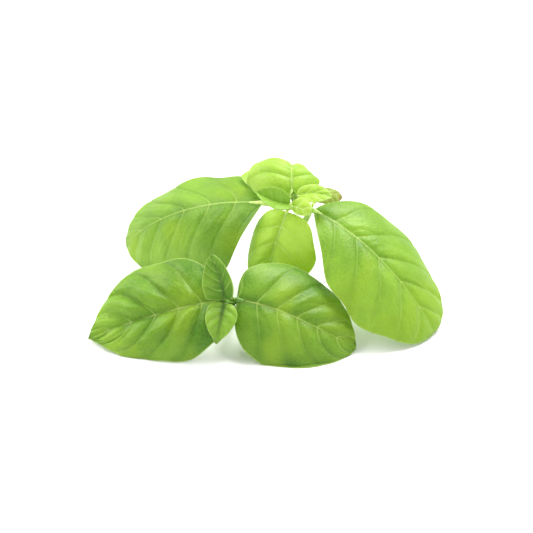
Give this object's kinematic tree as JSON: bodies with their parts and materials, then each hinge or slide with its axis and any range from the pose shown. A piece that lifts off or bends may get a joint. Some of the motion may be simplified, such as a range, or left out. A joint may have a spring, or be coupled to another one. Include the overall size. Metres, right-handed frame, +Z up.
{
  "type": "basil bunch",
  "caption": "Bunch of freshly cut basil shoot tips lying on a surface, with domed drooping leaves on short stems.",
  "frame": {"origin": "on the table surface, under the middle of the bunch's bounding box", "axes": "+X to the right along the bunch's width, +Y away from the front sprig towards the back sprig, +Z up"},
  "size_m": [0.14, 0.0896, 0.0566],
  "materials": {
    "deep_leaf": "soft waxy leaf blade, slightly see-through",
    "fresh_leaf": "young leaf blade, soft sheen",
    "young_leaf": "newest leaf blade, pale yellow-green, soft sheen",
    "old_leaf": "olive leaf blade browning at the tip, dull",
    "stem": "pale green stem, smooth, slightly waxy"
  },
  "bodies": {
    "root": {"front_stem": "stem", "front_leaf_left": "deep_leaf", "front_leaf_right": "deep_leaf", "front_small_leaf_upper": "fresh_leaf", "front_small_leaf_lower": "fresh_leaf", "back_stem": "stem", "back_leaf_left": "deep_leaf", "back_leaf_right": "deep_leaf", "back_leaf_middle": "young_leaf", "back_leaf_top": "young_leaf", "back_small_leaf_left": "fresh_leaf", "back_small_leaf_right": "young_leaf", "back_small_leaf_front": "young_leaf", "back_side_leaf_right": "old_leaf", "back_side_leaf_left": "young_leaf"}
  },
  "joints": []
}
